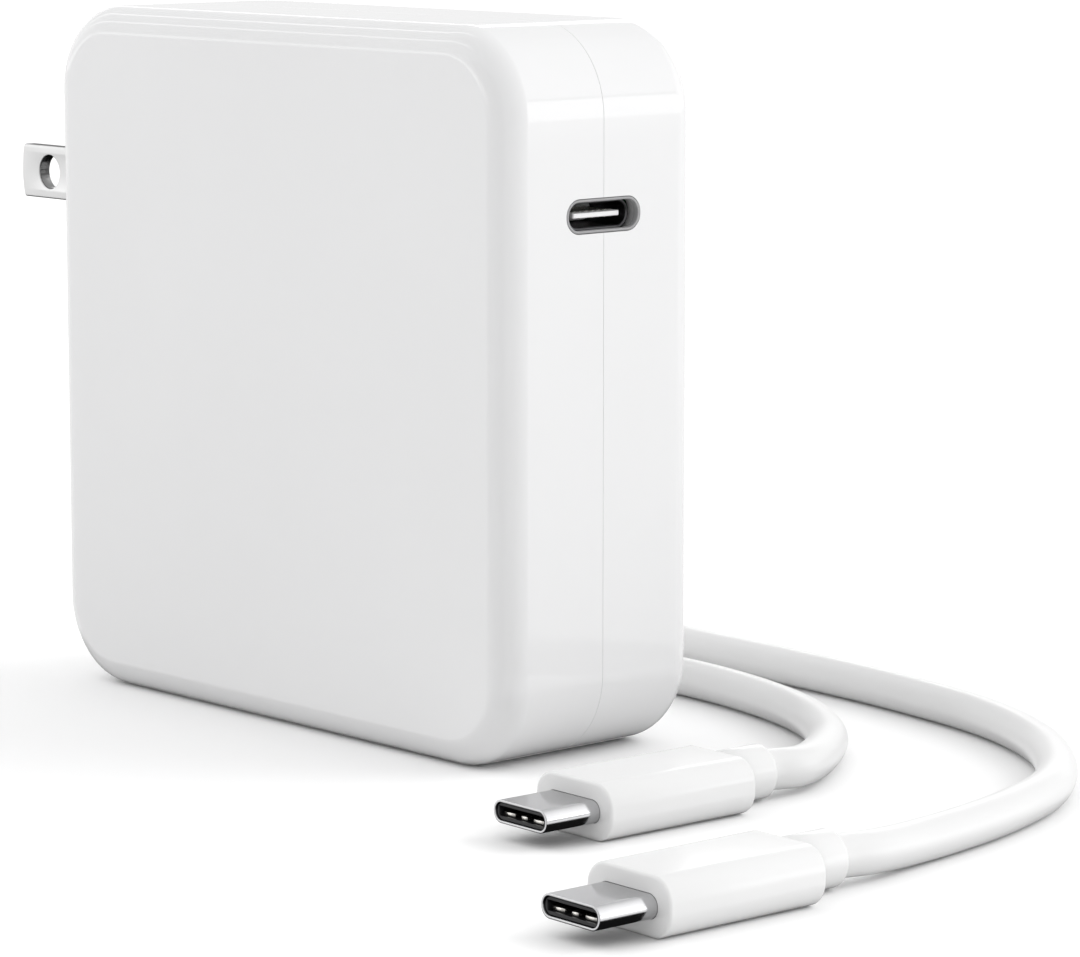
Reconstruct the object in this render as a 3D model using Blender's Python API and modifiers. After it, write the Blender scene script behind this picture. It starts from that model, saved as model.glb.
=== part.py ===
"""Laptop power adapter with a folding mains plug, a USB-C outlet and its charge cable.

Row frame: metres, +Z up.  Origin: middle of the case's base, on the seam.
+X points to the face with the USB-C outlet, -X to the face with the mains
blades, -Y to the front half of the case.  The cable lies on the same floor
as the case stands on.
"""
import bpy
import bmesh
import math
from mathutils import Vector, Matrix

MM = 0.001

# ---------------------------------------------------------------- case
CASE_W = 80.0          # X
CASE_T = 28.0          # Y
CASE_H = 80.0          # Z
CORNER_R = 10.0        # corner radius of the big faces
EDGE_R = 3.3           # fillet between a big face and the sides
WALL = 2.0
SEAM = 0.3             # gap between the two halves at y = 0
LIP_OUT = 1.2          # tongue of the rear half, measured inwards
LIP_IN = 1.95
LIP_LEN = 1.5

# ---------------------------------------------------------------- mains plug
PIVOT_X = -35.4
PIVOT_Z = 59.2
BARREL_R = 4.2
BARREL_HALF = 8.3
TRUNNION_R = 1.7
BLADE_GAP = 12.7       # between the blades' middles
BLADE_T = 1.5
BLADE_H = 6.35
BLADE_TIP_X = -56.2
BLADE_TIP_R = 13.0     # the tip is a shallow arc
BLADE_HOLE_R = 2.0
BLADE_HOLE_FROM_TIP = 5.6
BAY_HALF = 9.9
BAY_LO_Z, BAY_HI_Z = 36.0, 65.5
BAY_BACK_X = -29.0
POCKET_BACK_X = -30.4

# ---------------------------------------------------------------- USB-C outlet
PORT_Z = 59.7
TRIM_W, TRIM_H = 10.6, 3.65
TRIM_IN_W, TRIM_IN_H = 9.9, 3.0
TRIM_DEPTH = 0.7
RECEPT_W, RECEPT_H = 8.94, 3.16
RECEPT_IN_W, RECEPT_IN_H = 8.34, 2.56
TONGUE_W = 6.69

# ---------------------------------------------------------------- cable
CABLE_R = 2.22
OVER_W, OVER_H, OVER_L = 11.8, 6.0, 19.8
OVER_R = 2.55
NOSE_W, NOSE_H, NOSE_L = 8.25, 2.4, 7.0
COLLAR_R, COLLAR_L = 2.9, 6.0
PLUG_NEAR = (94.35, -47.3, 268.2)     # x, y of the front face, heading
PLUG_FAR = (62.65, -25.1, 268.2)

# ---------------------------------------------------------------- clean start
for old in list(bpy.data.objects):
    bpy.data.objects.remove(old, do_unlink=True)

scene = bpy.context.scene
PARTS = bpy.data.collections.new("laptop_power_adapter")
TOOLS = bpy.data.collections.new("cutters")
scene.collection.children.link(PARTS)
scene.collection.children.link(TOOLS)

# ---------------------------------------------------------------- materials


def material(name, colour, rough, metal=0.0):
    m = bpy.data.materials.new(name)
    m.use_nodes = True
    b = m.node_tree.nodes["Principled BSDF"]
    b.inputs["Base Color"].default_value = (*colour, 1.0)
    b.inputs["Roughness"].default_value = rough
    b.inputs["Metallic"].default_value = metal
    m.diffuse_color = (*colour, 1.0)
    return m


WHITE = material("case_white", (0.86, 0.86, 0.86), 0.22)
WHITE_SOFT = material("cable_white", (0.85, 0.85, 0.85), 0.38)
NICKEL = material("nickel", (0.72, 0.71, 0.69), 0.2, 1.0)
STEEL = material("steel", (0.62, 0.62, 0.63), 0.25, 1.0)
BRASS = material("phosphor_bronze", (0.72, 0.50, 0.30), 0.3, 1.0)
BLACK = material("black_plastic", (0.02, 0.02, 0.022), 0.4)
GREY = material("port_grey", (0.55, 0.55, 0.56), 0.35)
BOARD = material("board_green", (0.03, 0.16, 0.08), 0.5)
FERRITE = material("ferrite", (0.10, 0.10, 0.11), 0.6)
TAPE = material("yellow_tape", (0.80, 0.62, 0.10), 0.5)
COPPER = material("copper_wire", (0.70, 0.33, 0.16), 0.35, 1.0)
ALU = material("aluminium", (0.75, 0.76, 0.77), 0.35, 1.0)
SHEET = material("insulating_sheet", (0.75, 0.72, 0.62), 0.5)
SLEEVE = material("capacitor_sleeve", (0.03, 0.04, 0.10), 0.35)
XCAP = material("film_capacitor_yellow", (0.78, 0.60, 0.14), 0.45)
DISC = material("ceramic_disc_blue", (0.08, 0.22, 0.50), 0.45)
LIVE = material("live_wire_black", (0.03, 0.03, 0.03), 0.45)
NEUTRAL = material("neutral_wire_white", (0.80, 0.80, 0.78), 0.45)
GOLD = material("gold_contact", (0.85, 0.62, 0.26), 0.25, 1.0)

# ---------------------------------------------------------------- helpers


def empty(name, loc=(0, 0, 0), yaw=0.0):
    e = bpy.data.objects.new(name, None)
    e.location = Vector(loc) * MM
    e.rotation_euler = (0, 0, math.radians(yaw))
    e.empty_display_size = 0.01
    PARTS.objects.link(e)
    return e


HOUSING = empty("housing_frame")
FOLD = empty("folding_plug_frame", (PIVOT_X, 0, PIVOT_Z))
CABLE = empty("charge_cable_frame")
NEAR = empty("plug_near_frame", (PLUG_NEAR[0], PLUG_NEAR[1], OVER_H / 2), PLUG_NEAR[2])
FAR = empty("plug_far_frame", (PLUG_FAR[0], PLUG_FAR[1], OVER_H / 2), PLUG_FAR[2])
NEAR.parent = CABLE
FAR.parent = CABLE


def origin_of(parent):
    """Where a parent empty stands, so that a child can be placed in row coordinates."""
    return parent.location / MM if parent in (FOLD,) else Vector((0, 0, 0))


def put(bm, name, centre, mat, parent=None, smooth=True):
    """Turn a bmesh into a named part, placed under its parent empty."""
    me = bpy.data.meshes.new(name)
    bm.normal_update()
    bm.to_mesh(me)
    bm.free()
    ob = bpy.data.objects.new(name, me)
    if mat is None:
        TOOLS.objects.link(ob)
        ob.hide_render = True
        ob.display_type = 'WIRE'
    else:
        PARTS.objects.link(ob)
        me.materials.append(mat)
    if parent is not None:
        ob.parent = parent
        centre = Vector(centre) - origin_of(parent)
    ob.location = Vector(centre) * MM
    if smooth:
        me.shade_smooth()
        me.set_sharp_from_angle(angle=math.radians(32))
    return ob


def cube_bm(size):
    bm = bmesh.new()
    bmesh.ops.create_cube(bm, size=1.0)
    bmesh.ops.scale(bm, vec=Vector(size) * MM, verts=bm.verts)
    return bm


def box(name, lo, hi, mat, parent=None, bevel=0.0, segs=2):
    """A block between two corners; bevel rounds every edge."""
    size = [h - l for l, h in zip(lo, hi)]
    bm = cube_bm(size)
    ob = put(bm, name, [(l + h) / 2 for l, h in zip(lo, hi)], mat, parent)
    if bevel:
        m = ob.modifiers.new("edges", 'BEVEL')
        m.width = bevel * MM
        m.segments = segs
        m.limit_method = 'ANGLE'
    return ob


def along(edge, axis):
    d = (edge.verts[1].co - edge.verts[0].co).normalized()
    return abs(d[axis]) > 0.99


def prism_bm(size, axis, radius, segs=4, fillet=0.0, fillet_segs=3, ends=(-1, 1)):
    """A block whose four edges along one axis are rounded, and then its end rims."""
    bm = cube_bm(size)
    bmesh.ops.bevel(bm, geom=[e for e in bm.edges if along(e, axis)],
                    offset=radius * MM, offset_type='OFFSET', segments=segs,
                    profile=0.5, affect='EDGES')
    if fillet:
        half = size[axis] * MM / 2
        rims = [e for e in bm.edges
                if any(all(abs(v.co[axis] - s * half) < 1e-7 for v in e.verts) for s in ends)]
        bmesh.ops.bevel(bm, geom=rims, offset=fillet * MM, offset_type='OFFSET',
                        segments=fillet_segs, profile=0.5, affect='EDGES')
    return bm


def prism(name, size, centre, axis, radius, mat, parent=None, **kw):
    return put(prism_bm(size, axis, radius, **kw), name, centre, mat, parent)


def rod(name, r, length, centre, axis, mat, parent=None, sides=24, bevel=0.0):
    """A round bar along X (0), Y (1) or Z (2)."""
    bm = bmesh.new()
    bmesh.ops.create_cone(bm, cap_ends=True, segments=sides, radius1=r * MM,
                          radius2=r * MM, depth=length * MM)
    if axis == 0:
        bmesh.ops.rotate(bm, cent=(0, 0, 0), matrix=Matrix.Rotation(math.pi / 2, 3, 'Y'), verts=bm.verts)
    elif axis == 1:
        bmesh.ops.rotate(bm, cent=(0, 0, 0), matrix=Matrix.Rotation(math.pi / 2, 3, 'X'), verts=bm.verts)
    ob = put(bm, name, centre, mat, parent)
    if bevel:
        m = ob.modifiers.new("rims", 'BEVEL')
        m.width = bevel * MM
        m.segments = 2
        m.limit_method = 'ANGLE'
        m.angle_limit = math.radians(50)
    return ob


def turned(name, profile, centre, axis, mat, parent=None, steps=32):
    """A turned piece: (radius, height) points from top to bottom, spun by a Screw modifier."""
    bm = bmesh.new()
    vs = [bm.verts.new((r * MM, 0, h * MM)) for r, h in profile]
    for a, b in zip(vs, vs[1:]):
        bm.edges.new((a, b))
    me = bpy.data.meshes.new(name)
    bm.to_mesh(me)
    bm.free()
    ob = bpy.data.objects.new(name, me)
    PARTS.objects.link(ob)
    me.materials.append(mat)
    s = ob.modifiers.new("turn", 'SCREW')
    s.axis = 'Z'
    s.angle = 2 * math.pi
    s.steps = steps
    s.render_steps = steps
    s.use_merge_vertices = True
    s.merge_threshold = 1e-6
    s.use_smooth_shade = True
    if axis == 0:
        ob.rotation_euler = (0, math.pi / 2, 0)
    elif axis == 1:
        ob.rotation_euler = (-math.pi / 2, 0, 0)
    if parent is not None:
        ob.parent = parent
        centre = Vector(centre) - origin_of(parent)
    ob.location = Vector(centre) * MM
    return ob


def cut(ob, tool, op='DIFFERENCE', solver='EXACT'):
    m = ob.modifiers.new(tool.name, 'BOOLEAN')
    m.operation = op
    m.solver = solver
    m.object = tool
    return ob


def wire(name, points, r, mat, parent=None, res=2):
    """A round wire through points (row mm), with closed ends."""
    cu = bpy.data.curves.new(name, 'CURVE')
    cu.dimensions = '3D'
    cu.bevel_depth = r * MM
    cu.bevel_resolution = res
    cu.resolution_u = 1
    cu.render_resolution_u = 0
    cu.use_fill_caps = True
    sp = cu.splines.new('POLY')
    sp.points.add(len(points) - 1)
    for p, q in zip(sp.points, points):
        p.co = (q[0] * MM, q[1] * MM, q[2] * MM, 1.0)
    cu.materials.append(mat)
    ob = bpy.data.objects.new(name, cu)
    PARTS.objects.link(ob)
    if parent is not None:
        ob.parent = parent
    return ob


def smooth_path(knots, per_span):
    """Points on a curve that passes through every knot (Catmull-Rom)."""
    ks = [Vector(k) for k in knots]
    ks = [2 * ks[0] - ks[1]] + ks + [2 * ks[-1] - ks[-2]]
    out = []
    for i in range(1, len(ks) - 2):
        a, b, c, d = ks[i - 1:i + 3]
        for j in range(per_span):
            t = j / per_span
            out.append(0.5 * ((2 * b) + (c - a) * t + (2 * a - 5 * b + 4 * c - d) * t * t
                              + (3 * b - a - 3 * c + d) * t ** 3))
    out.append(ks[-2])
    return out


# ================================================================ case
def case_half(name, side):
    """One tray of the case: an open skin with rounded edges, thickened inwards."""
    depth = CASE_T / 2 - SEAM / 2
    bm = cube_bm((CASE_W, depth, CASE_H))
    bmesh.ops.bevel(bm, geom=[e for e in bm.edges if along(e, 1)], offset=CORNER_R * MM,
                    offset_type='OFFSET', segments=8, profile=0.5, affect='EDGES')
    outer = side * depth * MM / 2
    rim = [e for e in bm.edges if all(abs(v.co.y - outer) < 1e-7 for v in e.verts)]
    bmesh.ops.bevel(bm, geom=rim, offset=EDGE_R * MM, offset_type='OFFSET', segments=4,
                    profile=0.5, affect='EDGES')
    open_faces = [f for f in bm.faces if all(abs(v.co.y + outer) < 1e-7 for v in f.verts)]
    bmesh.ops.delete(bm, geom=open_faces, context='FACES')
    ob = put(bm, name, (0, side * (SEAM / 2 + depth / 2), CASE_H / 2), WHITE, HOUSING)
    s = ob.modifiers.new("wall", 'SOLIDIFY')
    s.thickness = WALL * MM
    s.offset = -1
    s.use_even_offset = True
    return ob


def inset_prism(name, inset, y0, y1):
    return prism(name, (CASE_W - 2 * inset, y1 - y0, CASE_H - 2 * inset),
                 (0, (y0 + y1) / 2, CASE_H / 2), 1, CORNER_R - inset, None, HOUSING, segs=8)


front = case_half("front_case_half", -1)
rear = case_half("rear_case_half", 1)

# the rear half's tongue enters a rabbet in the front half, so the seam is closed
tongue = inset_prism("cut_lip_outer", LIP_OUT, -LIP_LEN, 1.2)
tongue_hole = inset_prism("cut_lip_inner", LIP_IN, -LIP_LEN - 1, 2.4)
cut(tongue, tongue_hole)
cut(rear, tongue, 'UNION')
cut(front, inset_prism("cut_rabbet", 0.9, -LIP_LEN - 0.3, 0.6))

bay_hole = box("cut_bay_opening", (-44, -BAY_HALF - 0.3, BAY_LO_Z - 0.3),
               (-34, BAY_HALF + 0.3, BAY_HI_Z + 0.3), None, HOUSING)
port_hole = prism("cut_port_opening", (12, TRIM_W + 0.4, TRIM_H + 0.4), (40, 0, PORT_Z), 0,
                  (TRIM_H + 0.4) * 0.49, None, HOUSING, segs=6)
for half in (front, rear):
    cut(half, bay_hole, solver='MANIFOLD')
    cut(half, port_hole, solver='MANIFOLD')

# ================================================================ plug bay
bay = box("plug_bay", (-CASE_W / 2, -BAY_HALF, BAY_LO_Z), (BAY_BACK_X, BAY_HALF, BAY_HI_Z),
          WHITE, HOUSING)
cut(bay, box("cut_barrel_pocket", (-44, -8.6, PIVOT_Z - 4.6), (POCKET_BACK_X, 8.6, PIVOT_Z + 4.6),
             None, HOUSING))
for s, tag in ((-1, "front"), (1, "rear")):
    y = s * BLADE_GAP / 2
    cut(bay, box("cut_slot_" + tag, (-44, y - 1.2, 37.8), (-31.7, y + 1.2, PIVOT_Z), None, HOUSING))
    cut(bay, box("cut_spring_window_" + tag, (-32, y - 1.35, 61.1), (-26, y + 1.35, 62.4), None, HOUSING))
cut(bay, rod("cut_trunnion_holes", TRUNNION_R + 0.08, 19.4, (PIVOT_X, 0, PIVOT_Z), 1, None, HOUSING, 32))
cut(bay, rod("cut_finger_scoop", 7.0, 14.0, (-44.0, 0, 41.0), 1, None, HOUSING, 32))

# ================================================================ folding plug
groove_lo, groove_hi = BLADE_GAP / 2 - 1.05, BLADE_GAP / 2 + 1.05
prof = [(0.0, 9.4), (TRUNNION_R, 9.4), (TRUNNION_R, BARREL_HALF), (BARREL_R - 0.4, BARREL_HALF),
        (BARREL_R, BARREL_HALF - 0.4), (BARREL_R, groove_hi), (1.8, groove_hi),
        (1.8, groove_lo), (BARREL_R, groove_lo)]
prof = prof + [(r, -h) for r, h in reversed(prof)]
turned("blade_carrier", prof, (PIVOT_X, 0, PIVOT_Z), 1, WHITE, FOLD, steps=32)

for s, tag in ((-1, "front"), (1, "rear")):
    y = s * BLADE_GAP / 2
    length = PIVOT_X - BLADE_TIP_X
    blade = prism("blade_" + tag, (length, BLADE_T, BLADE_H),
                  (PIVOT_X - length / 2, y, PIVOT_Z), 1, 0.55, NICKEL, FOLD, segs=3)
    cut(blade, rod("trim_blade_tip_" + tag, BLADE_TIP_R, 6, (BLADE_TIP_X + BLADE_TIP_R, y, PIVOT_Z), 1,
                   None, FOLD, 160), 'INTERSECT')
    root = rod("join_blade_root_" + tag, BARREL_R - 0.1, BLADE_T, (PIVOT_X, y, PIVOT_Z), 1, None, FOLD, 32)
    cut(blade, root, 'UNION')
    cut(blade, rod("cut_blade_core_" + tag, 2.1, 6, (PIVOT_X, y, PIVOT_Z), 1, None, FOLD, 24))
    cut(blade, rod("cut_blade_hole_" + tag, BLADE_HOLE_R, 6,
                   (BLADE_TIP_X + BLADE_HOLE_FROM_TIP, y, PIVOT_Z), 1, None, FOLD, 24))
    # contact spring behind the blade's root, with a tail through the bay's back wall
    spring = box("blade_contact_" + tag, (-31.0, y - 1.0, 56.2), (-30.7, y + 1.0, 62.05), BRASS, HOUSING)
    cut(spring, box("join_contact_tail_" + tag, (-30.9, y - 1.0, 61.45), (-28.2, y + 1.0, 62.0),
                    None, HOUSING), 'UNION')
box("plug_detent_spring", (-30.95, -2.2, 55.4), (-30.7, 2.2, 63.0), STEEL, HOUSING)

# ================================================================ USB-C outlet
trim = prism("usb_c_port_trim", (TRIM_DEPTH, TRIM_W, TRIM_H), (CASE_W / 2 - TRIM_DEPTH / 2, 0, PORT_Z), 0,
             TRIM_H * 0.49, GREY, HOUSING, segs=6)
cut(trim, prism("cut_trim_mouth", (6, TRIM_IN_W, TRIM_IN_H), (CASE_W / 2 - 1.3, 0, PORT_Z), 0,
                TRIM_IN_H * 0.49, None, HOUSING, segs=6))
# behind the trim the shell of the receptacle stands 0.3 mm further back
SHELL_X0, SHELL_X1 = 31.6, 39.0
shell = prism("receptacle_shell", (SHELL_X1 - SHELL_X0, RECEPT_W, RECEPT_H),
              ((SHELL_X0 + SHELL_X1) / 2, 0, PORT_Z), 0, RECEPT_H * 0.49, STEEL, HOUSING, segs=6)
cut(shell, prism("cut_receptacle_mouth", (12, RECEPT_IN_W, RECEPT_IN_H), (35, 0, PORT_Z), 0,
                 RECEPT_IN_H * 0.49, None, HOUSING, segs=6))
tongue_block = prism("receptacle_tongue", (1.6, RECEPT_IN_W - 0.4, RECEPT_IN_H - 0.4),
                     (32.7, 0, PORT_Z), 0, (RECEPT_IN_H - 0.4) * 0.49, BLACK, HOUSING, segs=6)
cut(tongue_block, box("join_tongue", (33.1, -TONGUE_W / 2, PORT_Z - 0.25),
                      (38.8, TONGUE_W / 2, PORT_Z + 0.25), None, HOUSING), 'UNION')


def comb(name, z0, z1, x0, x1, root_x, pitch, count, width, mat, parent, y_mid=0.0):
    """A row of contact strips that share one strap at their root."""
    half = pitch * (count - 1) / 2 + width / 2
    lo, hi = sorted((root_x, root_x + (0.5 if x1 > root_x else -0.5)))
    ob = box(name, (lo, y_mid - half, z0), (hi, y_mid + half, z1), mat, parent)
    for i in range(count):
        y = y_mid + (i - (count - 1) / 2) * pitch
        a, b = sorted((x0, x1))
        cut(ob, box("join_%s_%d" % (name, i), (a, y - width / 2, z0), (b, y + width / 2, z1),
                    None, parent), 'UNION')
    return ob


comb("receptacle_contacts_upper", PORT_Z + 0.31, PORT_Z + 0.41, 33.8, 38.2, 33.7, 0.9, 7, 0.42, GOLD, HOUSING)
comb("receptacle_contacts_lower", PORT_Z - 0.41, PORT_Z - 0.31, 33.8, 38.2, 33.7, 0.9, 7, 0.42, GOLD, HOUSING)

BOARD_Z1 = PORT_Z - RECEPT_H / 2 - 0.3
box("port_board", (16.0, -6.7, BOARD_Z1 - 1.0), (36.8, 6.6, BOARD_Z1), BOARD, HOUSING)
box("port_controller_chip", (19.0, -2.5, BOARD_Z1 + 0.2), (24.0, 2.5, BOARD_Z1 + 1.1), BLACK, HOUSING)

# ================================================================ boards and shields
main = prism("main_board", (73.0, 1.6, 72.0), (-0.5, 7.8, 40.0), 1, 6.0, BOARD, HOUSING, segs=3)
cut(main, box("cut_board_notch", (-44, 4, 35.2), (-26.4, 12, 66.3), None, HOUSING))
for y0, y1, name, mat in ((-11.4, -10.6, "front_heat_spreader", ALU), (-9.9, -9.6, "front_insulating_sheet", SHEET),
                          (9.5, 9.8, "rear_insulating_sheet", SHEET), (10.5, 11.3, "rear_heat_spreader", ALU)):
    plate = prism(name, (64.0, y1 - y0, 68.0), (4.2, (y0 + y1) / 2, 40.0), 1, 5.0, mat, HOUSING, segs=3)

# ================================================================ transformer
TX, TY, TZ = -0.5, -1.3, 34.0
core = box("transformer_core", (TX - 14, TY - 4, TZ - 12), (TX + 14, TY + 4, TZ + 12), FERRITE, HOUSING)
for s in (-1, 1):
    cut(core, box("cut_core_window_%d" % (s + 1), (TX + (4 if s > 0 else -10.2), TY - 6, TZ - 8),
                  (TX + (10.2 if s > 0 else -4), TY + 6, TZ + 8), None, HOUSING))
bobbin = box("transformer_bobbin", (TX - 5.0, TY - 5.0, TZ - 7.0), (TX + 5.0, TY + 5.0, TZ + 7.0), BLACK, HOUSING)
for s in (-1, 1):
    cut(bobbin, box("join_bobbin_flange_%d" % (s + 1), (TX - 9.8, TY - 7.2, TZ + s * 7.2 - 0.5),
                    (TX + 9.8, TY + 7.2, TZ + s * 7.2 + 0.5), None, HOUSING), 'UNION')
cut(bobbin, box("cut_bobbin_bore", (TX - 4.3, TY - 4.3, TZ - 9), (TX + 4.3, TY + 4.3, TZ + 9), None, HOUSING))
winding = prism("transformer_winding", (19.0, 13.8, 12.8), (TX, TY, TZ), 2, 2.0, TAPE, HOUSING, segs=3)
cut(winding, box("cut_winding_bore", (TX - 5.3, TY - 5.3, TZ - 9), (TX + 5.3, TY + 5.3, TZ + 9), None, HOUSING))

# ================================================================ boost inductor
IX, IY, IZ = 24.5, -1.6, 19.0
turned("boost_inductor_core", [(0, 7.2), (9.5, 7.2), (9.5, 5.2), (4.0, 5.2), (4.0, -5.2), (9.5, -5.2),
                               (9.5, -7.2), (0, -7.2)], (IX, IY, IZ), 1, FERRITE, HOUSING, steps=28)
turned("boost_inductor_winding", [(4.3, 4.9), (8.9, 4.9), (8.9, -4.9), (4.3, -4.9), (4.3, 4.9)],
       (IX, IY, IZ), 1, COPPER, HOUSING, steps=28)

# ================================================================ capacitors
def can(name, r, length, centre, axis, mat):
    """An electrolytic can: domed rim, crimp groove near the foot."""
    h = length / 2
    turned(name, [(0, h), (r - 0.8, h), (r, h - 0.8), (r, -h + 2.6), (r - 0.5, -h + 2.1),
                  (r, -h + 1.6), (r, -h + 0.3), (r - 0.5, -h), (0, -h)], centre, axis, mat, HOUSING, steps=24)


can("bulk_capacitor_1", 5.6, 25.0, (-15.5, -0.2, 70.0), 0, SLEEVE)
can("bulk_capacitor_2", 5.6, 25.0, (11.0, -0.2, 70.0), 0, SLEEVE)
can("bulk_capacitor_3", 5.6, 24.0, (-13.0, -0.2, 54.6), 0, SLEEVE)
can("output_capacitor_1", 4.0, 9.5, (30.0, 1.2, 40.5), 1, ALU)
can("output_capacitor_2", 4.0, 9.5, (30.0, 1.2, 49.3), 1, ALU)
prism("x_capacitor", (17.0, 14.0, 8.0), (-26.0, -1.0, 9.0), 0, 0.8, XCAP, HOUSING, segs=2)
rod("y_capacitor", 3.6, 3.0, (9.2, 4.6, 15.0), 1, DISC, HOUSING, 20, bevel=0.6)

# ================================================================ mains filter choke
CX, CY, CZ = -27.5, -1.0, 23.5
choke = box("choke_core", (CX - 7.5, CY - 3.2, CZ - 8.5), (CX + 7.5, CY + 3.2, CZ + 8.5), FERRITE, HOUSING)
cut(choke, box("cut_choke_window", (CX - 4.4, CY - 6, CZ - 5.4), (CX + 4.4, CY + 6, CZ + 5.4), None, HOUSING))
for s, tag in ((-1, "left"), (1, "right")):
    w = prism("choke_winding_" + tag, (6.6, 9.8, 9.4), (CX + s * 5.95, CY, CZ), 2, 1.2,
              COPPER, HOUSING, segs=2)
    lo = CX + (s * 5.95) - 1.85
    cut(w, box("cut_choke_leg_" + tag, (lo, CY - 3.5, CZ - 8), (lo + 3.7, CY + 3.5, CZ + 8), None, HOUSING))

# ================================================================ small power parts
def leaded(name, lo, hi, mat, legs, leg_len, leg_w=0.7, bevel=0.3):
    """A moulded body on the board with flat legs that point at the board (+Y)."""
    ob = box(name, lo, hi, mat, HOUSING)
    n = len(legs)
    zc = (lo[2] + hi[2]) / 2
    for i, x in enumerate(legs):
        cut(ob, box("join_%s_leg%d" % (name, i), (x - leg_w / 2, hi[1] - 0.5, zc - 0.3),
                    (x + leg_w / 2, hi[1] + leg_len, zc + 0.3), None, HOUSING), 'UNION')
    return ob


leaded("bridge_rectifier", (-11.0, -8.6, 5.2), (4.0, 4.8, 8.8), BLACK, (-9.0, -5.2, -1.6, 2.0), 1.8)
rod("fuse", 2.1, 8.5, (-12.0, 4.2, 15.5), 0, FERRITE, HOUSING, 16, bevel=0.4)
rod("thermistor", 4.0, 3.2, (-1.6, 4.3, 15.0), 1, FERRITE, HOUSING, 20, bevel=0.6)
rod("varistor", 4.2, 3.4, (-13.5, -1.8, 15.2), 1, DISC, HOUSING, 20, bevel=0.7)
heatsink = box("heatsink", (14.6, -8.8, 29.4), (16.0, 6.4, 56.0), ALU, HOUSING)
cut(heatsink, box("join_heatsink_fin", (14.7, -8.8, 54.6), (29.0, 6.4, 56.0), None, HOUSING), 'UNION')
leaded("switch_transistor", (16.4, -7.6, 42.2), (20.6, 2.6, 52.6), BLACK, (17.0, 18.5, 20.0), 3.8, 0.6)
leaded("sync_transistor", (16.4, -7.6, 30.2), (20.6, 2.6, 40.4), BLACK, (17.0, 18.5, 20.0), 3.8, 0.6)
box("controller_chip", (21.4, 5.2, 32.4), (25.6, 6.6, 37.8), BLACK, HOUSING)
box("optocoupler", (21.6, 3.4, 42.5), (25.4, 6.6, 49.0), BLACK, HOUSING)

# ================================================================ mains leads
for s, tag, mat in ((-1, "live", LIVE), (1, "neutral", NEUTRAL)):
    y = s * 5.9
    wire(tag + "_lead", smooth_path([(-27.3, y, 61.6), (-27.3, y, 57.0), (-27.5, y + s * 0.4, 51.0),
                                     (-27.6, y + s * 0.4, 46.0), (-27.4, y - s * 0.6, 40.5),
                                     (-27.2, y - s * 1.4, 36.2)], 3), 0.6, mat, HOUSING)

# ================================================================ charge cable
def plug(tag, parent):
    """One USB-C plug in its own frame: +X out of the nose, origin on the moulding's front face."""
    body = prism("plug_%s_overmould" % tag, (OVER_L, OVER_W, OVER_H), (-OVER_L / 2, 0, 0), 0, OVER_R,
                 WHITE_SOFT, parent, segs=5, fillet=0.45, fillet_segs=2)
    cut(body, prism("cut_plug_%s_pocket" % tag, (26.0, NOSE_W + 0.2, NOSE_H + 0.2), (0, 0, 0), 0,
                    (NOSE_H + 0.2) * 0.49, None, parent, segs=5))
    nose = prism("plug_%s_shell" % tag, (NOSE_L + 3.0, NOSE_W, NOSE_H), ((NOSE_L - 3.0) / 2, 0, 0), 0,
                 NOSE_H * 0.49, STEEL, parent, segs=6)
    cut(nose, prism("cut_plug_%s_mouth" % tag, (20.0, NOSE_W - 0.5, NOSE_H - 0.5), (2, 0, 0), 0,
                    (NOSE_H - 0.5) * 0.49, None, parent, segs=6))
    ins = prism("plug_%s_insert" % tag, (NOSE_L + 2.4, NOSE_W - 0.64, NOSE_H - 0.64),
                ((NOSE_L - 2.8) / 2, 0, 0), 0, (NOSE_H - 0.64) * 0.49, BLACK, parent, segs=5)
    cut(ins, box("cut_plug_%s_slot" % tag, (1.0, -3.45, -0.52), (12.0, 3.45, 0.52), None, parent))
    # three grounding fingers on the floor of the mouth share one strap at the back
    strap = box("plug_%s_contacts" % tag, (1.5, -3.3, -0.47), (2.1, 3.3, -0.35), GOLD, parent)
    for i, (yc, w) in enumerate(((-2.3, 1.7), (0.0, 0.9), (2.3, 1.7))):
        cut(strap, box("join_plug_%s_finger%d" % (tag, i), (1.8, yc - w / 2, -0.47), (6.4, yc + w / 2, -0.35),
                       None, parent), 'UNION')
        cut(strap, box("join_plug_%s_bump%d" % (tag, i), (5.6, yc - w / 2, -0.40), (6.4, yc + w / 2, -0.06),
                       None, parent), 'UNION')
    box("plug_%s_paddle_board" % tag, (-11.5, -3.5, -0.4), (-3.4, 3.5, 0.4), BOARD, parent)
    collar = rod("plug_%s_collar" % tag, COLLAR_R, COLLAR_L, (-OVER_L - 0.05 - COLLAR_L / 2, 0, 0), 0,
                 WHITE_SOFT, parent, 28, bevel=0.4)
    cut(collar, rod("cut_plug_%s_collar_bore" % tag, CABLE_R + 0.12, 2 * COLLAR_L,
                    (-OVER_L - 1.3 - COLLAR_L, 0, 0), 0, None, parent, 28))


plug("near", NEAR)
plug("far", FAR)


def behind(plug_at, dist, z):
    """A point behind a plug's front face, on its axis."""
    a = math.radians(plug_at[2])
    return (plug_at[0] - dist * math.cos(a), plug_at[1] - dist * math.sin(a), z)


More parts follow.
